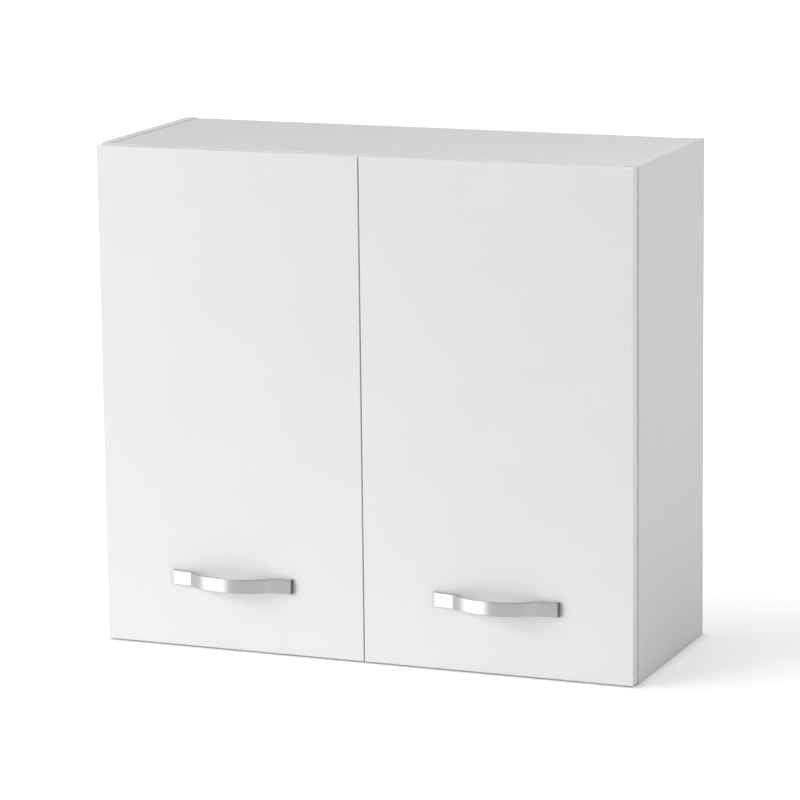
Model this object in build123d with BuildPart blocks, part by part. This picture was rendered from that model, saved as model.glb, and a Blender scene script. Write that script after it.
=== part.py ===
import math
import os

from build123d import *

# Hanging wall cabinet with two overlay doors. Millimetres, +Z up, doors face -Y.
# The origin is the centre of the whole cabinet's footprint, on the plane of its lower edges.

# Carcass
WIDTH = 800.0
HEIGHT = 720.0
DEPTH = 290.0
BOARD = 16.0
PANEL_RECESS = 1.0
BAND = 0.8
BAND_ROUND = 0.5

# Back board, which slides in grooves
BACK_THICKNESS = 3.0
BACK_INSET = 18.0
GROOVE_DEPTH = 8.0
GROOVE_SLACK = 0.5
GROOVE_PLAY = 0.2
HOOK_NOTCH_WIDTH = 30.0
HOOK_NOTCH_HEIGHT = 30.0

# Doors
DOOR_THICKNESS = 18.0
DOOR_SIDE_INSET = 1.5
DOOR_GAP = 2.0
DOOR_REVEAL = 2.0
DOOR_STANDOFF = 2.0
DOOR_BAND = 1.0
DOOR_BAND_ROUND = 0.8
BUFFER_RADIUS = 4.0
BUFFER_CLEARANCE = 0.3
BUFFER_EDGE = 8.0

# Bow handles
HANDLE_LENGTH = 188.0
HANDLE_HEIGHT = 21.0
HANDLE_WAIST = 19.5
HANDLE_CREST = 30.0
HANDLE_STRAP = 4.0
BOW_HALF_CHORD = 62.0
FOOT_OUTER_RISE = 5.0
FOOT_INNER_RISE = 9.5
FOOT_BLEND = 7.0
HANDLE_END_SHARE = 0.8
HANDLE_CORNER = 2.5
HANDLE_EDGE_ROUND = 0.7
HANDLE_ABOVE_DOOR_FOOT = 100.0
HANDLE_SCREW_SPACING = 160.0
HANDLE_SCREW_RADIUS = 1.95
HANDLE_THREAD_RADIUS = 2.0
HANDLE_THREAD_DEPTH = 5.5
HANDLE_SCREW_ENGAGEMENT = 5.0
HANDLE_SCREW_HEAD_RADIUS = 4.5
HANDLE_SCREW_HEAD_HEIGHT = 1.4
DOOR_SCREW_HOLE_RADIUS = 2.5

# Shelves on pins
SHELF_NAMES = ("lower_shelf", "upper_shelf")
SHELF_FRONT_RECESS = 20.0
SHELF_SIDE_GAP = 1.0
SHELF_BACK_GAP = 2.0
PIN_RADIUS = 2.45
PIN_HOLE_RADIUS = 2.5
PIN_HOLE_DEPTH = 10.0
PIN_ENGAGEMENT = 9.0
PIN_SEAT_LENGTH = 9.0
PIN_SEAT_WIDTH = 8.0
PIN_SEAT_THICKNESS = 2.5
PIN_LEG_HEIGHT = 12.0
PIN_LEG_THICKNESS = 2.0
SYSTEM_SETBACK = 37.0
SYSTEM_PITCH = 32.0

# Knock-down joints between the sides and the top and bottom
DOWEL_RADIUS = 4.0
DOWEL_LENGTH = 30.0
DOWEL_IN_SIDE = 10.0
DOWEL_PLAY = 0.05
CAM_RADIUS = 7.4
CAM_BELOW_BOLT = 4.0
CAM_PLAY = 0.1
CAM_SETBACK = 34.0
CAM_SLOT = 7.2
CAM_CROSS = 7.0
CAM_CROSS_WIDTH = 1.6
CAM_CROSS_DEPTH = 1.5
CAM_BOLT_RADIUS = 3.0
CAM_BOLT_THREAD_RADIUS = 2.45
CAM_BOLT_THREAD_HOLE = 2.5
CAM_BOLT_IN_SIDE = 11.0
CAM_BOLT_HEAD_RADIUS = 3.4
CAM_BOLT_HEAD_LENGTH = 4.0
CAM_BORE_RADIUS = 4.0
DOWEL_FROM_FRONT = 40.0
CAM_FROM_FRONT = 72.0
JOINT_FROM_BACK = 48.0

# Cup hinges
HINGE_FROM_END = 100.0
CUP_EDGE = 3.0
CUP_RADIUS = 17.5
CUP_DEPTH = 13.0
CUP_WALL = 0.8
CUP_PLAY = 0.05
FLANGE_THICKNESS = 1.0
FLANGE_WIDTH = 20.0
FLANGE_LENGTH = 60.0
CUP_SCREW_SPACING = 45.0
CUP_SCREW_OFFSET = 9.5
CUP_SCREW_RADIUS = 1.75
CUP_SCREW_LENGTH = 12.0
SCREW_PLAY = 0.05
SCREW_HEAD_RADIUS = 3.5
SCREW_HEAD_HEIGHT = 1.5
HINGE_PIN_INSIDE_CUP = 3.1
HINGE_PIN_DEPTH = 9.7
HINGE_PIN_RADIUS = 1.0
HINGE_PIN_PLAY = 0.05
EYE_RADIUS = 1.7
EYE_WIDTH = 5.0
TONGUE_THICKNESS = 1.7
ARM_THICKNESS = 2.0
ARM_WIDTH = 13.0
ARM_LENGTH = 62.0
ARM_NECK_END = 6.0
PLATE_THICKNESS = 3.6
PLATE_HEIGHT = 46.0
PLATE_WING_DEPTH = 14.0
PLATE_SPINE_START = 24.0
PLATE_SPINE_WIDTH = 11.0
PLATE_SCREW_RADIUS = 2.45
PLATE_SCREW_LENGTH = 12.0
PLATE_SCREW_HOLE_DEPTH = 12.0
ARM_SCREW_RADIUS = 2.0
ARM_SCREW_FROM_FRONT = 50.0
ARM_SCREW_DEPTH = 3.0

# Hanging brackets in the upper back corners, and the plates on the wall that they grip
HANGER_WIDTH = 22.0
HANGER_DEPTH = 62.0
HANGER_HEIGHT = 60.0
HANGER_WALL = 2.0
HANGER_PEG_RADIUS = 4.95
HANGER_PEG_HOLE = 5.0
HANGER_PEG_LENGTH = 10.0
HANGER_PEG_HOLE_DEPTH = 11.0
HOOK_THICKNESS = 3.0
HOOK_BODY_DEPTH = 46.0
HOOK_BODY_HEIGHT = 44.0
HOOK_ARM_HEIGHT = 4.0
HOOK_TIP_DEPTH = 3.0
HOOK_TIP_DROP = 12.0
HOOK_TIP_FROM_WALL = 4.0
HOOK_BELOW_TOP = 1.0
HANGER_SCREW_RADIUS = 3.0
HANGER_SCREW_PLAY = 0.1
HANGER_SCREW_SPACING = 24.0
HANGER_SCREW_HEAD_RADIUS = 3.8
HANGER_SCREW_HEAD_LENGTH = 3.0
WALL_PLATE_THICKNESS = 2.0
WALL_PLATE_WIDTH = 60.0
WALL_PLATE_HEIGHT = 56.0
WALL_PLATE_LIP_OFFSET = 10.0
WALL_PLATE_LIP_HEIGHT = 8.0
WALL_PLATE_FROM_SIDE = 3.0
LIP_BELOW_HOOK = 1.5
WALL_HOLE_RADIUS = 3.0
WALL_HOLE_SPACING = 36.0
WALL_HOLE_FROM_FOOT = 20.0

# Values that follow from the sizes above
FRONT = -(DEPTH - DOOR_STANDOFF - DOOR_THICKNESS - HANDLE_CREST) / 2
BACK = FRONT + DEPTH
DOOR_BACK = FRONT - DOOR_STANDOFF
DOOR_FRONT = DOOR_BACK - DOOR_THICKNESS
DOOR_WIDTH = (WIDTH - 2 * DOOR_SIDE_INSET - DOOR_GAP) / 2
DOOR_HEIGHT = HEIGHT - 2 * DOOR_REVEAL
DOOR_CENTRE = WIDTH / 2 - DOOR_SIDE_INSET - DOOR_WIDTH / 2
INNER = WIDTH / 2 - BOARD
BACK_BOARD = BACK - BACK_INSET - BACK_THICKNESS
FLOOR = PANEL_RECESS + BOARD
CEILING = HEIGHT - PANEL_RECESS - BOARD
SHELF_COUNT = len(SHELF_NAMES)
SHELF_STEP = (CEILING - FLOOR - SHELF_COUNT * BOARD) / (SHELF_COUNT + 1)
SHELF_FEET = [FLOOR + (i + 1) * SHELF_STEP + i * BOARD for i in range(SHELF_COUNT)]
PIN_COLUMNS = [FRONT + SYSTEM_SETBACK, BACK_BOARD - SYSTEM_SETBACK]
DOWEL_ROWS = [FRONT + DOWEL_FROM_FRONT, BACK_BOARD - JOINT_FROM_BACK]
CAM_ROWS = [FRONT + CAM_FROM_FRONT, BACK_BOARD - JOINT_FROM_BACK - SYSTEM_PITCH]
PANEL_MIDDLES = [PANEL_RECESS + BOARD / 2, HEIGHT - PANEL_RECESS - BOARD / 2]
CAM_HEIGHT = BOARD / 2 + CAM_BELOW_BOLT
HINGE_HEIGHTS = {"lower": HINGE_FROM_END, "upper": HEIGHT - HINGE_FROM_END}
SYSTEM_ROW = FRONT + SYSTEM_SETBACK
CUP_CENTRE = WIDTH / 2 - DOOR_SIDE_INSET - CUP_EDGE - CUP_RADIUS
HINGE_X = WIDTH / 2 - DOOR_SIDE_INSET - CUP_EDGE - HINGE_PIN_INSIDE_CUP
HINGE_Y = DOOR_BACK - HINGE_PIN_DEPTH
HINGE_PIN_OUTSIDE = CUP_RADIUS - HINGE_PIN_INSIDE_CUP + HINGE_PIN_RADIUS
HINGE_PIN_LENGTH = 2 * math.sqrt(CUP_RADIUS**2 - HINGE_PIN_OUTSIDE**2)
HANDLE_Z = DOOR_REVEAL + HANDLE_ABOVE_DOOR_FOOT
HANDLE_END_ROUND = HANDLE_END_SHARE * FOOT_OUTER_RISE
BOW_RISE = HANDLE_CREST - FOOT_INNER_RISE
BOW_RADIUS = (BOW_HALF_CHORD**2 + BOW_RISE**2) / (2 * BOW_RISE)
HOOK_TOP = CEILING - HOOK_BELOW_TOP
HOOK_X = INNER - HANGER_WIDTH / 2
LIP_TOP = HOOK_TOP - HOOK_ARM_HEIGHT - LIP_BELOW_HOOK
HANGER_SCREW_HEIGHTS = [
    HOOK_TOP - HOOK_BODY_HEIGHT / 2 + HANGER_SCREW_SPACING / 2,
    HOOK_TOP - HOOK_BODY_HEIGHT / 2 - HANGER_SCREW_SPACING / 2,
]
WALL_HOLE_HEIGHT = LIP_TOP - WALL_PLATE_LIP_HEIGHT - WALL_PLATE_HEIGHT + WALL_HOLE_FROM_FOOT

SIDES = {"left": -1, "right": 1}
SAME_PLACE = 0.01
OUTWARD = -0.5


def block(corner, opposite, mode=Mode.ADD):
    """Add a box between two opposite corners to the part being built."""
    centre = tuple((a + b) / 2 for a, b in zip(corner, opposite))
    size = [abs(a - b) for a, b in zip(corner, opposite)]
    with Locations(centre):
        Box(*size, mode=mode)


def rod(start, direction, length, radius, mode=Mode.ADD):
    """Add a round rod to the part being built, from a point and along a direction."""
    with BuildSketch(Plane(origin=start, z_dir=direction)) as section:
        Circle(radius)
    extrude(section.sketch, amount=length, mode=mode)


def save(piece, label):
    """Name a finished piece and write it as its own file."""
    piece.part.label = label
    export_step(piece.part, f"parts/{label}.step")


def side_panel(label, side):
    """An upright board, drilled on its inner face for every fitting that it carries."""
    inner = side * INNER
    outward = (side, 0, 0)
    with BuildPart() as panel:
        block((side * WIDTH / 2, FRONT + BAND, 0), (inner, BACK, HEIGHT - BAND))
        groove_end = inner + side * GROOVE_DEPTH
        block(
            (inner, BACK_BOARD, FLOOR - GROOVE_DEPTH),
            (groove_end, BACK_BOARD + BACK_THICKNESS + GROOVE_PLAY, CEILING + GROOVE_DEPTH),
            mode=Mode.SUBTRACT,
        )
        for foot in SHELF_FEET:
            for step in (-SYSTEM_PITCH, 0, SYSTEM_PITCH):
                for y in PIN_COLUMNS:
                    place = (inner, y, foot - PIN_RADIUS + step)
                    rod(place, outward, PIN_HOLE_DEPTH, PIN_HOLE_RADIUS, mode=Mode.SUBTRACT)
        for z in HINGE_HEIGHTS.values():
            for step in (-SYSTEM_PITCH / 2, SYSTEM_PITCH / 2):
                place = (inner, SYSTEM_ROW, z + step)
                hole = PLATE_SCREW_RADIUS + SCREW_PLAY
                rod(place, outward, PLATE_SCREW_HOLE_DEPTH, hole, mode=Mode.SUBTRACT)
        for z in PANEL_MIDDLES:
            for y in DOWEL_ROWS:
                hole = DOWEL_RADIUS + DOWEL_PLAY
                rod((inner, y, z), outward, DOWEL_IN_SIDE, hole, mode=Mode.SUBTRACT)
            for y in CAM_ROWS:
                hole = CAM_BOLT_THREAD_HOLE
                rod((inner, y, z), outward, CAM_BOLT_IN_SIDE, hole, mode=Mode.SUBTRACT)
        for y, z in hanger_pegs():
            rod((inner, y, z), outward, HANGER_PEG_HOLE_DEPTH, HANGER_PEG_HOLE, mode=Mode.SUBTRACT)
    save(panel, label)


def hanger_pegs():
    """Where the hanging bracket's two pegs enter the side panel."""
    y = BACK_BOARD - HANGER_DEPTH / 2
    z = CEILING - HANGER_HEIGHT / 2
    return [(y, z - SYSTEM_PITCH / 2), (y, z + SYSTEM_PITCH / 2)]


def cross_panel(label, low, inward):
    """The top or bottom board between the sides, bored in its ends for dowels and cam bolts."""
    inner_face = low if inward < 0 else low + BOARD
    middle = low + BOARD / 2
    with BuildPart() as panel:
        block((-INNER, FRONT + BAND, low), (INNER, BACK, low + BOARD))
        block(
            (-INNER, BACK_BOARD, inner_face),
            (INNER, BACK_BOARD + BACK_THICKNESS + GROOVE_PLAY, inner_face - inward * GROOVE_DEPTH),
            mode=Mode.SUBTRACT,
        )
        for side in SIDES.values():
            end = side * INNER
            into = (-side, 0, 0)
            for y in DOWEL_ROWS:
                depth = DOWEL_LENGTH - DOWEL_IN_SIDE + DOWEL_PLAY
                rod((end, y, middle), into, depth, DOWEL_RADIUS + DOWEL_PLAY, mode=Mode.SUBTRACT)
            for y in CAM_ROWS:
                centre = end - side * CAM_SETBACK
                rod((end, y, middle), into, CAM_SETBACK, CAM_BORE_RADIUS, mode=Mode.SUBTRACT)
                pocket = CAM_HEIGHT + CAM_PLAY
                down = (0, 0, -inward)
                rod((centre, y, inner_face), down, pocket, CAM_RADIUS + CAM_PLAY, mode=Mode.SUBTRACT)
    save(panel, label)


def back_board():
    """The thin back, notched at its upper corners for the hanging hooks."""
    reach = INNER + GROOVE_DEPTH - GROOVE_SLACK
    foot = FLOOR - GROOVE_DEPTH + GROOVE_SLACK
    top = CEILING + GROOVE_DEPTH - GROOVE_SLACK
    with BuildPart() as board:
        block((-reach, BACK_BOARD, foot), (reach, BACK_BOARD + BACK_THICKNESS, top))
        for side in SIDES.values():
            block(
                (side * reach, BACK_BOARD, CEILING - HOOK_NOTCH_HEIGHT),
                (side * (INNER - HOOK_NOTCH_WIDTH), BACK_BOARD + BACK_THICKNESS, top),
                mode=Mode.SUBTRACT,
            )
    save(board, "back_panel")


def carcass_bands():
    """White strips on the front edges of the four boards and on the top edges of the sides."""
    with BuildPart() as uprights:
        for side in SIDES.values():
            block((side * WIDTH / 2, FRONT, 0), (side * INNER, FRONT + BAND, HEIGHT))
        fillet(uprights.edges().filter_by(Axis.Z).group_by(Axis.Y)[0], BAND_ROUND)
    save(uprights, "side_front_bands")
    with BuildPart() as rims:
        for side in SIDES.values():
            front_corner = (side * WIDTH / 2, FRONT + BAND, HEIGHT - BAND)
            block(front_corner, (side * INNER, BACK, HEIGHT))
        fillet(rims.edges().filter_by(Axis.Y).group_by(Axis.Z)[-1], BAND_ROUND)
    save(rims, "side_top_bands")
    with BuildPart() as rails:
        for low in (PANEL_RECESS, CEILING):
            block((-INNER, FRONT, low), (INNER, FRONT + BAND, low + BOARD))
        fillet(rails.edges().filter_by(Axis.X).group_by(Axis.Y)[0], BAND_ROUND)
    save(rails, "cross_panel_bands")


def shelf(label, foot):
    """A loose shelf that rests on four pins."""
    reach = INNER - SHELF_SIDE_GAP
    front = FRONT + SHELF_FRONT_RECESS
    back = BACK_BOARD - SHELF_BACK_GAP
    with BuildPart() as board:
        block((-reach, front, foot), (reach, back, foot + BOARD))
        fillet(board.edges().filter_by(Axis.X).group_by(Axis.Y)[0], BAND_ROUND)
    save(board, label)


def shelf_pins():
    """Plug-in shelf supports: a round plug, a flat seat and a leg down the side panel."""
    with BuildPart() as pins:
        for side in SIDES.values():
            inner = side * INNER
            for foot in SHELF_FEET:
                for y in PIN_COLUMNS:
                    plug = (inner, y, foot - PIN_RADIUS)
                    rod(plug, (side, 0, 0), PIN_ENGAGEMENT, PIN_RADIUS)
                    half = PIN_SEAT_WIDTH / 2
                    seat = inner - side * PIN_SEAT_LENGTH
                    leg = inner - side * PIN_LEG_THICKNESS
                    block((inner, y - half, foot), (seat, y + half, foot - PIN_SEAT_THICKNESS))
                    block((inner, y - half, foot), (leg, y + half, foot - PIN_LEG_HEIGHT))
    save(pins, "shelf_pins")


def joint_fittings():
    """Dowels, cam bolts and cams at the four corners of the carcass."""
    with BuildPart() as dowels:
        for side in SIDES.values():
            start = side * (INNER + DOWEL_IN_SIDE - DOWEL_PLAY)
            for z in PANEL_MIDDLES:
                for y in DOWEL_ROWS:
                    rod((start, y, z), (-side, 0, 0), DOWEL_LENGTH - DOWEL_PLAY, DOWEL_RADIUS)
    save(dowels, "dowels")
    with BuildPart() as bolts:
        for side in SIDES.values():
            into = (-side, 0, 0)
            for z in PANEL_MIDDLES:
                for y in CAM_ROWS:
                    tip = side * (INNER + CAM_BOLT_IN_SIDE - DOWEL_PLAY)
                    head = side * (INNER - CAM_SETBACK + CAM_BOLT_HEAD_LENGTH / 2)
                    thread = CAM_BOLT_IN_SIDE - DOWEL_PLAY
                    shank = CAM_SETBACK - CAM_BOLT_HEAD_LENGTH / 2
                    rod((tip, y, z), into, thread, CAM_BOLT_THREAD_RADIUS)
                    rod((side * INNER, y, z), into, shank, CAM_BOLT_RADIUS)
                    rod((head, y, z), into, CAM_BOLT_HEAD_LENGTH, CAM_BOLT_HEAD_RADIUS)
    save(bolts, "cam_bolts")
    drums = []
    for side in SIDES.values():
        for z, inward in zip(PANEL_MIDDLES, (1, -1)):
            drums += [cam(side, y, z, inward) for y in CAM_ROWS]
    with BuildPart() as cams:
        add(drums)
    save(cams, "cams")


def cam(side, y, z, inward):
    """One cam: a drum with a slot that the bolt's head enters, and a cross recess on its face."""
    centre = side * (INNER - CAM_SETBACK)
    face = z + inward * BOARD / 2
    slot = CAM_SLOT / 2
    with BuildPart() as drum:
        rod((centre, y, face), (0, 0, -inward), CAM_HEIGHT, CAM_RADIUS)
        block(
            (centre - side * slot, y - slot, z - slot),
            (centre + side * CAM_RADIUS, y + slot, z + slot),
            mode=Mode.SUBTRACT,
        )
        for across, deep in ((CAM_CROSS, CAM_CROSS_WIDTH), (CAM_CROSS_WIDTH, CAM_CROSS)):
            block(
                (centre - across / 2, y - deep / 2, face),
                (centre + across / 2, y + deep / 2, face - inward * CAM_CROSS_DEPTH),
                mode=Mode.SUBTRACT,
            )
    return drum.part


def door(side_name, side):
    """A door board with its edge band, drilled for two cup hinges and a handle."""
    centre = side * DOOR_CENTRE
    half = DOOR_WIDTH / 2
    top = DOOR_REVEAL + DOOR_HEIGHT
    with BuildPart() as board:
        block(
            (centre - half + DOOR_BAND, DOOR_FRONT, DOOR_REVEAL + DOOR_BAND),
            (centre + half - DOOR_BAND, DOOR_BACK, top - DOOR_BAND),
        )
        for z in HINGE_HEIGHTS.values():
            cup = (side * CUP_CENTRE, DOOR_BACK, z)
            hole = CUP_RADIUS + CUP_PLAY
            rod(cup, (0, -1, 0), CUP_DEPTH + CUP_PLAY, hole, mode=Mode.SUBTRACT)
            for x, y, height in cup_screw_places(side, z):
                hole = CUP_SCREW_RADIUS + SCREW_PLAY
                rod((x, y, height), (0, -1, 0), CUP_SCREW_LENGTH, hole, mode=Mode.SUBTRACT)
        for x in handle_screw_places(centre):
            start = (x, DOOR_BACK, HANDLE_Z)
            rod(start, (0, -1, 0), DOOR_THICKNESS, DOOR_SCREW_HOLE_RADIUS, mode=Mode.SUBTRACT)
    save(board, f"door_{side_name}")
    with BuildPart() as band:
        block((centre - half, DOOR_FRONT, DOOR_REVEAL), (centre + half, DOOR_BACK, top))
        fillet(band.edges(), DOOR_BAND_ROUND)
        block(
            (centre - half + DOOR_BAND, DOOR_FRONT, DOOR_REVEAL + DOOR_BAND),
            (centre + half - DOOR_BAND, DOOR_BACK, top - DOOR_BAND),
            mode=Mode.SUBTRACT,
        )
    save(band, f"door_band_{side_name}")
    with BuildPart() as buffers:
        x = centre - side * (half - BUFFER_EDGE)
        for z in PANEL_MIDDLES:
            thickness = DOOR_STANDOFF - BUFFER_CLEARANCE
            rod((x, DOOR_BACK, z), (0, 1, 0), thickness, BUFFER_RADIUS)
    save(buffers, f"door_buffers_{side_name}")


def handle_screw_places(centre):
    """The two handle screws' places across a door."""
    return [centre - HANDLE_SCREW_SPACING / 2, centre + HANDLE_SCREW_SPACING / 2]


def handle(side_name, side):
    """A cast bow handle: two wedge feet and an arched strap with a slight waist."""
    centre = side * DOOR_CENTRE
    end = HANDLE_LENGTH / 2
    arc_centre = HANDLE_CREST - BOW_RADIUS
    inside_radius = BOW_RADIUS - HANDLE_STRAP
    inside_reach = math.sqrt(inside_radius**2 - arc_centre**2)
    origin = (centre, DOOR_FRONT, HANDLE_Z)
    with BuildPart() as bow:
        with BuildSketch(Plane(origin=origin, x_dir=(1, 0, 0), z_dir=(0, 0, -1))) as profile:
            with BuildLine():
                foot_left = (-BOW_HALF_CHORD, FOOT_INNER_RISE)
                foot_right = (BOW_HALF_CHORD, FOOT_INNER_RISE)
                Polyline((-inside_reach, 0), (-end, 0), (-end, FOOT_OUTER_RISE), foot_left)
                ThreePointArc(foot_left, (0, HANDLE_CREST), foot_right)
                Polyline(foot_right, (end, FOOT_OUTER_RISE), (end, 0), (inside_reach, 0))
                crown = (0, HANDLE_CREST - HANDLE_STRAP)
                ThreePointArc((inside_reach, 0), crown, (-inside_reach, 0))
            make_face()
            joins = [v for v in profile.vertices() if abs(abs(v.X - centre) - BOW_HALF_CHORD) < SAME_PLACE]
            fillet(joins, FOOT_BLEND)
            corners = profile.vertices().group_by(Axis.X)
            ends = [group.sort_by(Axis.Y)[0] for group in (corners[0], corners[-1])]
            fillet(ends, HANDLE_END_ROUND)
        extrude(amount=HANDLE_HEIGHT / 2, both=True)
        with BuildSketch(Plane(origin=origin, x_dir=(1, 0, 0), z_dir=(0, -1, 0))) as outline:
            tall = HANDLE_HEIGHT / 2
            waist = HANDLE_WAIST / 2
            with BuildLine():
                Line((-end, tall), (-end, -tall))
                ThreePointArc((-end, -tall), (0, -waist), (end, -tall))
                Line((end, -tall), (end, tall))
                ThreePointArc((end, tall), (0, waist), (-end, tall))
            make_face()
            fillet(outline.vertices(), HANDLE_CORNER)
        extrude(amount=HANDLE_CREST + HANDLE_STRAP, mode=Mode.INTERSECT)
        outside = bow.faces().filter_by(lambda face: face.normal_at().Y < OUTWARD)
        fillet(outside.edges().filter_by(Axis.Z, reverse=True), HANDLE_EDGE_ROUND)
        for x in handle_screw_places(centre):
            start = (x, DOOR_FRONT, HANDLE_Z)
            rod(start, (0, -1, 0), HANDLE_THREAD_DEPTH, HANDLE_THREAD_RADIUS, mode=Mode.SUBTRACT)
    save(bow, f"handle_{side_name}")
    with BuildPart() as screws:
        for x in handle_screw_places(centre):
            start = (x, DOOR_BACK, HANDLE_Z)
            length = DOOR_THICKNESS + HANDLE_SCREW_ENGAGEMENT
            rod(start, (0, -1, 0), length, HANDLE_SCREW_RADIUS)
            rod(start, (0, 1, 0), HANDLE_SCREW_HEAD_HEIGHT, HANDLE_SCREW_HEAD_RADIUS)
    save(screws, f"handle_screws_{side_name}")


def cup_screw_places(side, z):
    """The two screws of one hinge cup, on the back of the door."""
    x = side * (CUP_CENTRE - CUP_SCREW_OFFSET)
    reach = CUP_SCREW_SPACING / 2
    return [(x, DOOR_BACK, z - reach), (x, DOOR_BACK, z + reach)]


def hinge_cup(label, side, z):
    """A pressed cup with its flange, let into the back of a door."""
    centre = (side * CUP_CENTRE, DOOR_BACK, z)
    middle = side * (CUP_CENTRE - CUP_SCREW_OFFSET + FLANGE_WIDTH / 4)
    with BuildPart() as cup:
        block(
            (middle - FLANGE_WIDTH / 2, DOOR_BACK, z - FLANGE_LENGTH / 2),
            (middle + FLANGE_WIDTH / 2, DOOR_BACK + FLANGE_THICKNESS, z + FLANGE_LENGTH / 2),
        )
        fillet(cup.edges().filter_by(Axis.Y), FLANGE_WIDTH / 4)
        rod(centre, (0, -1, 0), CUP_DEPTH, CUP_RADIUS)
        inside = CUP_RADIUS - CUP_WALL
        mouth = (side * CUP_CENTRE, DOOR_BACK + FLANGE_THICKNESS, z)
        depth = CUP_DEPTH - CUP_WALL + FLANGE_THICKNESS
        rod(mouth, (0, -1, 0), depth, inside, mode=Mode.SUBTRACT)
        pin = (side * HINGE_X, HINGE_Y, z - HINGE_PIN_LENGTH / 2)
        rod(pin, (0, 0, 1), HINGE_PIN_LENGTH, HINGE_PIN_RADIUS, mode=Mode.SUBTRACT)
        for x, y, height in cup_screw_places(side, z):
            start = (x, y, height)
            hole = CUP_SCREW_RADIUS + SCREW_PLAY
            rod(start, (0, 1, 0), FLANGE_THICKNESS, hole, mode=Mode.SUBTRACT)
    save(cup, label)


def hinge_arm(label, side, z):
    """The goose-neck arm: an eye on the pin, a tongue inside the cup, and a bar along the side."""
    eye = side * HINGE_X
    near = side * (INNER - PLATE_THICKNESS)
    far = near - side * ARM_THICKNESS
    low = HINGE_Y - TONGUE_THICKNESS
    half = EYE_WIDTH / 2
    wide = ARM_WIDTH / 2
    with BuildPart() as arm:
        rod((eye, HINGE_Y, z - half), (0, 0, 1), EYE_WIDTH, EYE_RADIUS)
        block((eye, HINGE_Y, z - half), (far, low, z + half))
        block((near, low, z - half), (far, FRONT + ARM_NECK_END, z + half))
        block((near, FRONT + ARM_NECK_END, z - wide), (far, FRONT + ARM_LENGTH, z + wide))
        bore = HINGE_PIN_RADIUS + HINGE_PIN_PLAY
        rod((eye, HINGE_Y, z - half), (0, 0, 1), EYE_WIDTH, bore, mode=Mode.SUBTRACT)
        screw = (near, FRONT + ARM_SCREW_FROM_FRONT, z)
        hole = ARM_SCREW_RADIUS + SCREW_PLAY
        rod(screw, (-side, 0, 0), ARM_THICKNESS, hole, mode=Mode.SUBTRACT)
    save(arm, label)


def hinge_plate(label, side, z):
    """The cross-shaped plate that two screws hold to the side panel."""
    inner = side * INNER
    top = side * (INNER - PLATE_THICKNESS)
    tall = PLATE_HEIGHT / 2
    wing = PLATE_WING_DEPTH / 2
    spine = PLATE_SPINE_WIDTH / 2
    with BuildPart() as plate:
        block((inner, SYSTEM_ROW - wing, z - tall), (top, SYSTEM_ROW + wing, z + tall))
        fillet(plate.edges().filter_by(Axis.X), PLATE_WING_DEPTH / 4)
        spine_start = FRONT + PLATE_SPINE_START
        block((inner, spine_start, z - spine), (top, FRONT + ARM_LENGTH, z + spine))
        for step in (-SYSTEM_PITCH / 2, SYSTEM_PITCH / 2):
            place = (inner, SYSTEM_ROW, z + step)
            hole = PLATE_SCREW_RADIUS + SCREW_PLAY
            rod(place, (-side, 0, 0), PLATE_THICKNESS, hole, mode=Mode.SUBTRACT)
        screw = (top, FRONT + ARM_SCREW_FROM_FRONT, z)
        hole = ARM_SCREW_RADIUS + SCREW_PLAY
        rod(screw, (side, 0, 0), ARM_SCREW_DEPTH, hole, mode=Mode.SUBTRACT)
    save(plate, label)


def hinge_screws():
    """The screws of the mounting plates and of the arms, one node for each kind."""
    with BuildPart() as plate_screws:
        for side in SIDES.values():
            for z in HINGE_HEIGHTS.values():
                for step in (-SYSTEM_PITCH / 2, SYSTEM_PITCH / 2):
                    head = (side * (INNER - PLATE_THICKNESS), SYSTEM_ROW, z + step)
                    rod(head, (side, 0, 0), PLATE_SCREW_LENGTH, PLATE_SCREW_RADIUS)
                    rod(head, (-side, 0, 0), SCREW_HEAD_HEIGHT, SCREW_HEAD_RADIUS)
    save(plate_screws, "hinge_plate_screws")
    with BuildPart() as arm_screws:
        for side in SIDES.values():
            for z in HINGE_HEIGHTS.values():
                outside = side * (INNER - PLATE_THICKNESS - ARM_THICKNESS)
                head = (outside, FRONT + ARM_SCREW_FROM_FRONT, z)
                rod(head, (side, 0, 0), ARM_THICKNESS + ARM_SCREW_DEPTH - SCREW_PLAY, ARM_SCREW_RADIUS)
                rod(head, (-side, 0, 0), SCREW_HEAD_HEIGHT, SCREW_HEAD_RADIUS)
    save(arm_screws, "hinge_arm_screws")


def door_hinge_fittings(side_name, side):
    """The pins and cup screws that travel with one door."""
    with BuildPart() as pins:
        for z in HINGE_HEIGHTS.values():
            start = (side * HINGE_X, HINGE_Y, z - HINGE_PIN_LENGTH / 2)
            rod(start, (0, 0, 1), HINGE_PIN_LENGTH, HINGE_PIN_RADIUS)
    save(pins, f"hinge_pins_{side_name}")
    with BuildPart() as screws:
        for z in HINGE_HEIGHTS.values():
            for x, y, height in cup_screw_places(side, z):
                head = (x, y + FLANGE_THICKNESS, height)
                length = FLANGE_THICKNESS + CUP_SCREW_LENGTH - SCREW_PLAY
                rod(head, (0, -1, 0), length, CUP_SCREW_RADIUS)
                rod(head, (0, 1, 0), SCREW_HEAD_HEIGHT, SCREW_HEAD_RADIUS)
    save(screws, f"cup_screws_{side_name}")


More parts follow.
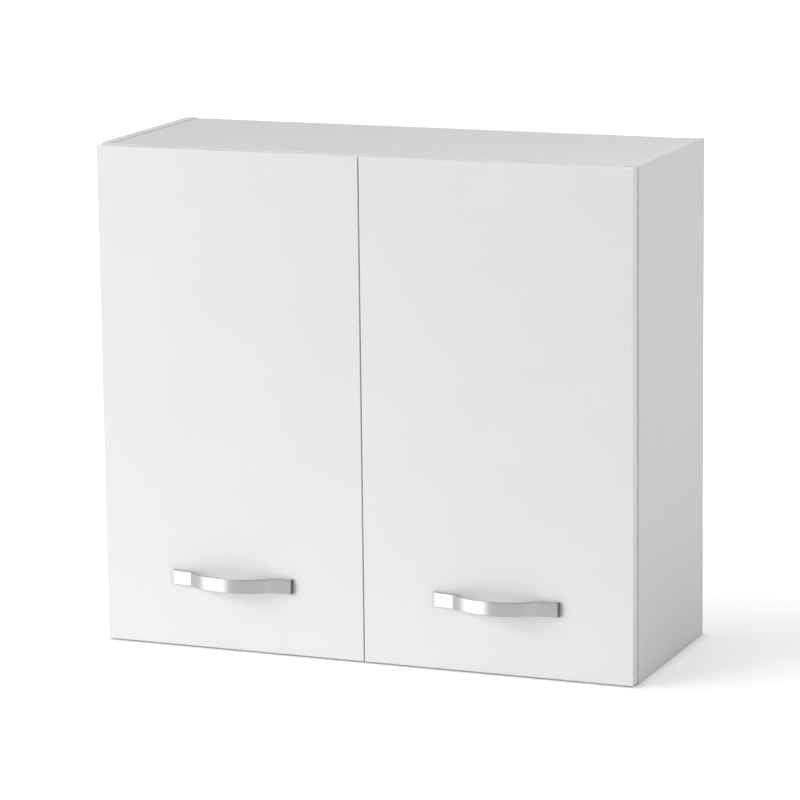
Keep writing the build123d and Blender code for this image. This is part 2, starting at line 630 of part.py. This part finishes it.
def hanger_housing(label, side):
    """The plastic housing of a hanging bracket, pegged to the side panel and open at the back."""
    near = side * INNER
    far = side * (INNER - HANGER_WIDTH)
    front = BACK_BOARD - HANGER_DEPTH
    foot = CEILING - HANGER_HEIGHT
    with BuildPart() as housing:
        block((near, front, foot), (far, BACK_BOARD, CEILING))
        fillet(housing.edges().filter_by(Axis.X).group_by(Axis.Y)[0], HANGER_WALL)
        block(
            (near - side * HANGER_WALL, front + HANGER_WALL, foot + HANGER_WALL),
            (far + side * HANGER_WALL, BACK_BOARD, CEILING),
            mode=Mode.SUBTRACT,
        )
        for z in HANGER_SCREW_HEIGHTS:
            hole = HANGER_SCREW_RADIUS + HANGER_SCREW_PLAY
            rod((side * HOOK_X, front, z), (0, 1, 0), HANGER_WALL, hole, mode=Mode.SUBTRACT)
        for y, z in hanger_pegs():
            rod((near, y, z), (side, 0, 0), HANGER_PEG_LENGTH, HANGER_PEG_RADIUS)
    save(housing, label)


def hanger_hook(label, side):
    """The steel hook: a body inside the housing, an arm through the back, and a tip that turns down."""
    low = side * HOOK_X - HOOK_THICKNESS / 2
    high = side * HOOK_X + HOOK_THICKNESS / 2
    tip_back = BACK - HOOK_TIP_FROM_WALL
    body_front = BACK_BOARD - HANGER_DEPTH + HANGER_WALL + HANGER_SCREW_HEAD_LENGTH
    with BuildPart() as hook:
        body = (low, body_front, HOOK_TOP - HOOK_BODY_HEIGHT)
        block(body, (high, body_front + HOOK_BODY_DEPTH, HOOK_TOP))
        arm = (low, body_front + HOOK_BODY_DEPTH, HOOK_TOP - HOOK_ARM_HEIGHT)
        block(arm, (high, tip_back, HOOK_TOP))
        tip = (low, tip_back - HOOK_TIP_DEPTH, HOOK_TOP - HOOK_TIP_DROP)
        block(tip, (high, tip_back, HOOK_TOP))
    save(hook, label)


def hanger_screws():
    """Two adjusting screws for each hanging bracket, reached from the front."""
    with BuildPart() as screws:
        for side in SIDES.values():
            front = BACK_BOARD - HANGER_DEPTH
            for z in HANGER_SCREW_HEIGHTS:
                start = (side * HOOK_X, front, z)
                length = HANGER_WALL + HANGER_SCREW_HEAD_LENGTH
                rod(start, (0, 1, 0), length, HANGER_SCREW_RADIUS)
                rod(start, (0, -1, 0), HANGER_SCREW_HEAD_LENGTH, HANGER_SCREW_HEAD_RADIUS)
    save(screws, "hanger_screws")


def wall_plate(label, side):
    """The steel plate on the wall, with an offset lip that the hook drops behind."""
    outer = side * (INNER - WALL_PLATE_FROM_SIDE)
    inner = outer - side * WALL_PLATE_WIDTH
    lip_foot = LIP_TOP - WALL_PLATE_LIP_HEIGHT
    lip_front = BACK - WALL_PLATE_LIP_OFFSET
    with BuildPart() as plate:
        foot = (outer, BACK - WALL_PLATE_THICKNESS, lip_foot - WALL_PLATE_HEIGHT)
        block(foot, (inner, BACK, lip_foot))
        block((outer, lip_front, lip_foot - WALL_PLATE_THICKNESS), (inner, BACK, lip_foot))
        lip_back = lip_front + WALL_PLATE_THICKNESS
        block((outer, lip_front, lip_foot - WALL_PLATE_THICKNESS), (inner, lip_back, LIP_TOP))
        for x in wall_hole_places(side):
            start = (x, BACK - WALL_PLATE_THICKNESS, WALL_HOLE_HEIGHT)
            rod(start, (0, 1, 0), WALL_PLATE_THICKNESS, WALL_HOLE_RADIUS, mode=Mode.SUBTRACT)
    save(plate, label)


def wall_hole_places(side):
    """The wall plate's two screw holes, side by side."""
    middle = side * (INNER - WALL_PLATE_FROM_SIDE - WALL_PLATE_WIDTH / 2)
    return [middle - WALL_HOLE_SPACING / 2, middle + WALL_HOLE_SPACING / 2]


os.makedirs("parts", exist_ok=True)

cross_panel("bottom_panel", PANEL_RECESS, 1)
cross_panel("top_panel", CEILING, -1)
back_board()
carcass_bands()
joint_fittings()
for name, foot in zip(SHELF_NAMES, SHELF_FEET):
    shelf(name, foot)
shelf_pins()
hinge_screws()
hanger_screws()

for side_name, side in SIDES.items():
    side_panel(f"side_{side_name}", side)
    hanger_housing(f"hanger_housing_{side_name}", side)
    hanger_hook(f"hanger_hook_{side_name}", side)
    wall_plate(f"wall_plate_{side_name}", side)
    door(side_name, side)
    handle(side_name, side)
    door_hinge_fittings(side_name, side)
    for level, z in HINGE_HEIGHTS.items():
        hinge_cup(f"hinge_cup_{side_name}_{level}", side, z)
        hinge_arm(f"hinge_arm_{side_name}_{level}", side, z)
        hinge_plate(f"hinge_plate_{side_name}_{level}", side, z)
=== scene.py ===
import math

import bpy
from mathutils import Matrix, Vector

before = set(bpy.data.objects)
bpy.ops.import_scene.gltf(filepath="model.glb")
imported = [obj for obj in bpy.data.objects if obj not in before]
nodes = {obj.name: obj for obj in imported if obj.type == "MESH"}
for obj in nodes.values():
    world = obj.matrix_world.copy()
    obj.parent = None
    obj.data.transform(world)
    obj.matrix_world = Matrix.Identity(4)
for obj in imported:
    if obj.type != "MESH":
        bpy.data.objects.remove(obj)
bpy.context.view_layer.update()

# Handles: how far their middles are from the cabinet's middle, and where the painted shade on their ends
# comes in, in metres
HANDLE_X = 0.19975
HANDLE_PAINTED_SHADE_ENDS = (0.0898, 0.0918)

# How far a handle's surface faces sideways or up and down where its painted shade on the ends and its painted
# dark reflection along the edges come in and go out, and how dark each gets
END_FACING = (-0.2, 0.2)
END_PAINTED_SHADE = (0.3, 1.0)
EDGE_FACING_IN = (0.2, 0.45)
EDGE_FACING_OUT = (0.85, 0.97)
EDGE_PAINTED_REFLECTION = 0.8
BRUSH_TURN = 0.25

# Fine surface textures: how many spots or lines there are to the metre
PLASTIC_GRAIN = 700.0
DRAWING_LINES = 1800.0
BRUSH_LINES = 2600.0

# Camera: where it stands in metres, how it is turned in degrees, and its lens in millimetres
CAMERA_PLACE = (2.105, -5.233, 1.480)
CAMERA_AZIMUTH = 21.89
CAMERA_ELEVATION = 11.32
CAMERA_ROLL = -0.66
CAMERA_LENS = 181.97

# The point that every softbox faces, in metres
AIM = Vector((0.0, 0.0, 0.1))

# Light: directions in degrees, distances and sizes in metres
WORLD_STRENGTH = 0.088
SOFTBOXES = {
    "key low": {
        "azimuth": -47.0, "elevation": 9.0, "distance": 5.0,
        "size": (4.0, 1.3), "radiance": 3.19,
    },
    "key middle": {
        "azimuth": -47.0, "elevation": 27.0, "distance": 5.0,
        "size": (4.0, 1.8), "radiance": 5.44,
    },
    "side fill": {
        "azimuth": 62.0, "elevation": 52.0, "distance": 2.0,
        "size": (0.9, 0.9), "radiance": 2.0,
    },
    "back": {
        "azimuth": 180.0, "elevation": 40.0, "distance": 5.0,
        "size": (6.0, 3.0), "radiance": 1.29,
    },
}
SUNS = {
    "sun left": {"azimuth": -85.0, "elevation": 76.0, "spread": 24.0, "strength": 0.55},
    "sun right": {"azimuth": 40.0, "elevation": 75.0, "spread": 50.0, "strength": 0.32},
}

# Floor: its glow near the cabinet and behind it, painted light that leaves a painted shadow under the cabinet
# and keeps its shadow behind short, its near colour and its darker far-front colour, which is painted shade,
# and where each fades, in metres
FLOOR_SIZE = 60.0
FLOOR_DROP = 0.0005
FLOOR_BACK_GLOW = 0.45
FLOOR_GLOW = 0.30
FLOOR_NEAR = (0.88, 0.88, 0.88)
FLOOR_PAINTED_SHADE_FRONT = (0.50, 0.50, 0.50)
FLOOR_FADE = (-2.1, -1.1)
BACK_FADE = (0.28, 1.0)
FOOTPRINT_HALF = (0.40, 0.155)
FOOTPRINT_MIDDLE = 0.015
EDGE_FADE = (-0.012, 0.012)


def make_camera():
    """A long-lens camera that looks down a little at the front and the right side."""
    data = bpy.data.cameras.new("camera")
    data.lens = CAMERA_LENS
    data.clip_start = 0.1
    data.clip_end = 200.0
    camera = bpy.data.objects.new("camera", data)
    azimuth, elevation, roll = (
        math.radians(angle) for angle in (CAMERA_AZIMUTH, CAMERA_ELEVATION, CAMERA_ROLL)
    )
    back = Vector((
        math.sin(azimuth) * math.cos(elevation),
        -math.cos(azimuth) * math.cos(elevation),
        math.sin(elevation),
    ))
    level = Vector((math.cos(azimuth), math.sin(azimuth), 0.0))
    upright = back.cross(level)
    right = math.cos(roll) * level + math.sin(roll) * upright
    up = math.cos(roll) * upright - math.sin(roll) * level
    turn = Matrix((right, up, back)).transposed()
    camera.matrix_world = Matrix.Translation(CAMERA_PLACE) @ turn.to_4x4()
    bpy.context.collection.objects.link(camera)
    bpy.context.scene.camera = camera


class Material:
    """A small helper that adds nodes to one procedural material."""

    def __init__(self, name, colour, roughness, metallic=0.0):
        self.data = bpy.data.materials.new(name)
        self.data.use_nodes = True
        self.tree = self.data.node_tree
        self.shader = self.tree.nodes["Principled BSDF"]
        self.put("Base Color", (*colour, 1.0))
        self.put("Roughness", roughness)
        self.put("Metallic", metallic)
        coordinates = self.add("ShaderNodeTexCoord")
        self.place = coordinates.outputs["Object"]
        self.facing = coordinates.outputs["Normal"]

    def put(self, socket, value):
        self.shader.inputs[socket].default_value = value

    def add(self, kind, **settings):
        node = self.tree.nodes.new(kind)
        for key, value in settings.items():
            setattr(node, key, value)
        return node

    def link(self, source, target):
        self.tree.links.new(source, target)

    def noise(self, scale, detail=2.0, roughness=0.5, stretch=(1.0, 1.0, 1.0)):
        """Noise in the frame's own metres, stretched along the axes; gives values about 0.5."""
        mapping = self.add("ShaderNodeMapping")
        mapping.inputs["Scale"].default_value = [scale * part for part in stretch]
        self.link(self.place, mapping.inputs["Vector"])
        texture = self.add("ShaderNodeTexNoise")
        texture.inputs["Scale"].default_value = 1.0
        texture.inputs["Detail"].default_value = detail
        texture.inputs["Roughness"].default_value = roughness
        self.link(mapping.outputs["Vector"], texture.inputs["Vector"])
        return texture.outputs["Fac"]

    def compute(self, operation, first, second=None):
        """One arithmetic step on a value, with a second value or a number."""
        node = self.add("ShaderNodeMath", operation=operation)
        self.link(first, node.inputs[0])
        if isinstance(second, (int, float)):
            node.inputs[1].default_value = second
        elif second:
            self.link(second, node.inputs[1])
        return node.outputs["Value"]

    def ramp(self, value, low, high, start=0.3, end=0.7):
        """Turns a value into a number between low and high."""
        spread = self.add("ShaderNodeMapRange")
        spread.inputs["From Min"].default_value = start
        spread.inputs["From Max"].default_value = end
        spread.inputs["To Min"].default_value = low
        spread.inputs["To Max"].default_value = high
        self.link(value, spread.inputs["Value"])
        return spread.outputs["Result"]

    def blend(self, factor, first, second):
        """Mixes two colours, or a colour and another node's output, by a value."""
        mix = self.add("ShaderNodeMix", data_type="RGBA")
        for socket, colour in (("A", first), ("B", second)):
            if isinstance(colour, tuple):
                mix.inputs[socket].default_value = (*colour, 1.0)
            else:
                self.link(colour, mix.inputs[socket])
        self.link(factor, mix.inputs["Factor"])
        return mix.outputs["Result"]

    def bump(self, *layers):
        """Adds bump layers, each a height value and its depth in metres."""
        normal = None
        for height, depth in layers:
            bump = self.add("ShaderNodeBump")
            bump.inputs["Strength"].default_value = 1.0
            bump.inputs["Distance"].default_value = depth
            self.link(height, bump.inputs["Height"])
            if normal:
                self.link(normal, bump.inputs["Normal"])
            normal = bump.outputs["Normal"]
        self.link(normal, self.shader.inputs["Normal"])


def shade(colour, factor):
    """A colour made lighter or darker."""
    return tuple(min(1.0, part * factor) for part in colour)


def laminate(name, colour, roughness):
    """Melamine-faced board: a smooth, faintly pearled surface with a very slight mottle."""
    made = Material(name, colour, roughness)
    mottle = made.ramp(made.noise(9.0, detail=4.0), 0.0, 1.0)
    made.link(made.blend(mottle, shade(colour, 0.992), shade(colour, 1.008)),
              made.shader.inputs["Base Color"])
    made.link(made.ramp(made.noise(140.0), roughness - 0.04, roughness + 0.04),
              made.shader.inputs["Roughness"])
    pearl = made.noise(900.0, detail=3.0, roughness=0.6)
    made.bump((pearl, 0.00004), (made.noise(3.0, detail=1.0), 0.0006))
    made.put("Specular IOR Level", 0.42)
    return made.data


def plastic(name, colour, roughness):
    """Moulded plastic with a fine spark-eroded grain."""
    made = Material(name, colour, roughness)
    tone = made.ramp(made.noise(40.0, detail=3.0), 0.0, 1.0)
    made.link(made.blend(tone, shade(colour, 0.985), shade(colour, 1.01)),
              made.shader.inputs["Base Color"])
    made.link(made.ramp(made.noise(260.0), roughness - 0.05, roughness + 0.05),
              made.shader.inputs["Roughness"])
    made.bump((made.noise(PLASTIC_GRAIN, detail=2.0), 0.00003))
    return made.data


def metal(name, colour, roughness):
    """Bare or plated metal with fine level drawing lines and a slightly uneven gloss."""
    made = Material(name, colour, roughness, metallic=1.0)
    cloud = made.ramp(made.noise(60.0, detail=4.0), 0.0, 1.0)
    made.link(made.blend(cloud, shade(colour, 0.97), shade(colour, 1.03)),
              made.shader.inputs["Base Color"])
    streaks = made.noise(1.0, detail=3.0, roughness=0.6, stretch=(25.0, 25.0, DRAWING_LINES))
    made.link(made.ramp(streaks, roughness - 0.05, roughness + 0.06),
              made.shader.inputs["Roughness"])
    made.bump((streaks, 0.000012))
    return made.data


def satin_chrome(name, colour, painted_shade_and_reflection_colour, roughness):
    """Chrome brushed along X, with painted shade on its ends, most where they face +X, and a painted dark
    reflection along its upper and lower edges.
    """
    made = Material(name, colour, roughness, metallic=1.0)
    lines = made.noise(1.0, detail=4.0, roughness=0.7, stretch=(14.0, 14.0, BRUSH_LINES))
    face = made.blend(made.ramp(lines, 0.0, 1.0), shade(colour, 0.93), shade(colour, 1.06))
    across = made.add("ShaderNodeSeparateXYZ")
    made.link(made.place, across.inputs["Vector"])
    # Painted shade on the ends: a mask along X picks the ends, and their facing sets how dark, most where
    # they face +X, away from the key light.
    from_middle = made.compute("SUBTRACT", made.compute("ABSOLUTE", across.outputs["X"]), HANDLE_X)
    end = made.ramp(made.compute("ABSOLUTE", from_middle), 0.0, 1.0, *HANDLE_PAINTED_SHADE_ENDS)
    turned = made.add("ShaderNodeSeparateXYZ")
    made.link(made.facing, turned.inputs["Vector"])
    end = made.compute("MULTIPLY", end, made.ramp(turned.outputs["X"], *END_PAINTED_SHADE, *END_FACING))
    # Painted dark reflection: a thin dark line where the surface turns up or down along the upper and lower
    # edges.
    tilt = made.compute("ABSOLUTE", turned.outputs["Z"])
    coming_in = made.ramp(tilt, 0.0, EDGE_PAINTED_REFLECTION, *EDGE_FACING_IN)
    edge = made.compute("MULTIPLY", coming_in, made.ramp(tilt, 1.0, 0.0, *EDGE_FACING_OUT))
    dark = made.compute("MAXIMUM", end, edge)
    made.link(made.blend(dark, face, painted_shade_and_reflection_colour), made.shader.inputs["Base Color"])
    made.link(made.ramp(lines, roughness - 0.04, roughness + 0.04), made.shader.inputs["Roughness"])
    made.bump((lines, 0.00001))
    made.put("Anisotropic", 0.95)
    made.put("Anisotropic Rotation", BRUSH_TURN)
    around = made.add("ShaderNodeTangent", direction_type="RADIAL", axis="Z")
    made.link(around.outputs["Tangent"], made.shader.inputs["Tangent"])
    return made.data


def wood(name, light, dark):
    """Turned beech with grain along X."""
    made = Material(name, light, 0.6)
    grain = made.ramp(made.noise(1.0, detail=5.0, roughness=0.65, stretch=(40.0, 900.0, 900.0)), 0.0, 1.0)
    made.link(made.blend(grain, light, dark), made.shader.inputs["Base Color"])
    made.bump((grain, 0.0001))
    return made.data


def dress(material, *names):
    """Gives one material to every named CAD node."""
    for name in names:
        mesh = nodes[name].data
        mesh.materials.clear()
        mesh.materials.append(material)


def pairs(stem):
    """The names of a piece that both sides have."""
    return [f"{stem}_left", f"{stem}_right"]


def fours(stem):
    """The names of a piece that each of the four hinges has."""
    return [f"{piece}_{level}" for piece in pairs(stem) for level in ("lower", "upper")]


def make_materials():
    """One procedural material for each kind of surface, put on the nodes that have it."""
    board = laminate("white_laminate", (0.80, 0.80, 0.797), 0.46)
    dress(board, "top_panel", "bottom_panel", "lower_shelf", "upper_shelf", *pairs("side"))
    dress(laminate("door_laminate", (0.81, 0.81, 0.807), 0.44), *pairs("door"))
    dress(laminate("back_board", (0.76, 0.76, 0.75), 0.62), "back_panel")
    band = plastic("edge_band", (0.86, 0.86, 0.855), 0.38)
    dress(band, "side_front_bands", "side_top_bands", "cross_panel_bands", *pairs("door_band"))
    # The dark colour is the painted shade on the handle ends and the painted dark reflection along their
    # edges.
    chrome = satin_chrome("satin_chrome", (0.65, 0.65, 0.65), (0.14, 0.14, 0.14), 0.33)
    dress(chrome, *pairs("handle"))
    steel = metal("plated_steel", (0.62, 0.62, 0.63), 0.26)
    dress(steel, *fours("hinge_cup"), *fours("hinge_arm"), *fours("hinge_plate"))
    dress(metal("screw_steel", (0.58, 0.58, 0.59), 0.32), "shelf_pins", "cam_bolts", "hinge_plate_screws",
          "hinge_arm_screws", "hanger_screws", *pairs("hinge_pins"), *pairs("cup_screws"),
          *pairs("handle_screws"), *pairs("hanger_hook"))
    dress(metal("wall_plate_steel", (0.56, 0.57, 0.59), 0.42), *pairs("wall_plate"))
    dress(metal("cast_zinc", (0.50, 0.50, 0.51), 0.5), "cams")
    dress(plastic("white_moulding", (0.78, 0.78, 0.77), 0.42), *pairs("hanger_housing"))
    dress(plastic("buffer", (0.70, 0.70, 0.68), 0.30), *pairs("door_buffers"))
    dress(wood("beech", (0.62, 0.44, 0.27), (0.50, 0.33, 0.19)), "dowels")


def place_light(name, kind, place, aim):
    """A light that stands at one point and looks at another."""
    data = bpy.data.lights.new(name, kind)
    light = bpy.data.objects.new(name, data)
    light.location = place
    light.rotation_mode = "QUATERNION"
    light.rotation_quaternion = (Vector(place) - Vector(aim)).to_track_quat("Z", "Y")
    bpy.context.collection.objects.link(light)
    return data


def towards(light):
    """The direction in which a light stands."""
    azimuth, elevation = math.radians(light["azimuth"]), math.radians(light["elevation"])
    across = math.cos(elevation)
    return Vector((math.sin(azimuth) * across, -math.cos(azimuth) * across, math.sin(elevation)))


def make_light():
    """Softboxes and very soft suns round the cabinet, and a dim white surround."""
    for name, box in SOFTBOXES.items():
        light = place_light(name, "AREA", AIM + box["distance"] * towards(box), AIM)
        light.shape = "RECTANGLE"
        light.size, light.size_y = box["size"]
        light.energy = box["radiance"] * light.size * light.size_y * math.pi
    for name, sun in SUNS.items():
        light = place_light(name, "SUN", towards(sun), (0, 0, 0))
        light.energy = sun["strength"]
        light.angle = math.radians(sun["spread"])
    world = bpy.data.worlds.new("studio")
    world.use_nodes = True
    shader = world.node_tree.nodes["Background"]
    shader.inputs["Color"].default_value = (1.0, 1.0, 1.0, 1.0)
    shader.inputs["Strength"].default_value = WORLD_STRENGTH
    bpy.context.scene.world = world


def make_floor():
    """A pale floor whose glow is painted light, except under the cabinet, where its lack paints a shadow; far
    in front it is darker, as painted shade, and has no glow.
    """
    mesh = bpy.data.meshes.new("floor")
    corners = [(x * FLOOR_SIZE, y * FLOOR_SIZE, 0) for x, y in ((-1, -1), (1, -1), (1, 1), (-1, 1))]
    mesh.from_pydata(corners, [], [(0, 1, 2, 3)])
    floor = bpy.data.objects.new("floor", mesh)
    floor.location.z = -FLOOR_DROP
    bpy.context.collection.objects.link(floor)
    made = Material("floor", FLOOR_NEAR, 0.9)
    made.put("Specular IOR Level", 0.0)
    made.put("Emission Color", (1.0, 1.0, 1.0, 1.0))
    split = made.add("ShaderNodeSeparateXYZ")
    made.link(made.place, split.inputs["Vector"])
    # Far in front the floor turns darker, as painted shade, and its glow fades out.
    depth = made.ramp(split.outputs["Y"], 0.0, 1.0, *FLOOR_FADE)
    made.link(made.blend(depth, FLOOR_PAINTED_SHADE_FRONT, FLOOR_NEAR), made.shader.inputs["Base Color"])
    # No glow over the cabinet's footprint: a painted shadow under the cabinet.
    beside = made.compute("SUBTRACT", made.compute("ABSOLUTE", split.outputs["X"]), FOOTPRINT_HALF[0])
    depth_off = made.compute("ABSOLUTE", made.compute("SUBTRACT", split.outputs["Y"], FOOTPRINT_MIDDLE))
    away = made.compute("MAXIMUM", beside, made.compute("SUBTRACT", depth_off, FOOTPRINT_HALF[1]))
    near = made.ramp(away, 0.0, FLOOR_GLOW, *EDGE_FADE)
    # More glow behind the cabinet: painted light that keeps the cabinet's shadow on the floor short.
    back = made.ramp(split.outputs["Y"], 0.0, FLOOR_BACK_GLOW, *BACK_FADE)
    close = made.compute("MULTIPLY", depth, near)
    made.link(made.compute("ADD", close, back), made.shader.inputs["Emission Strength"])
    mesh.materials.append(made.data)


make_camera()
make_light()
make_floor()
make_materials()
bpy.context.scene.view_settings.view_transform = "Standard"
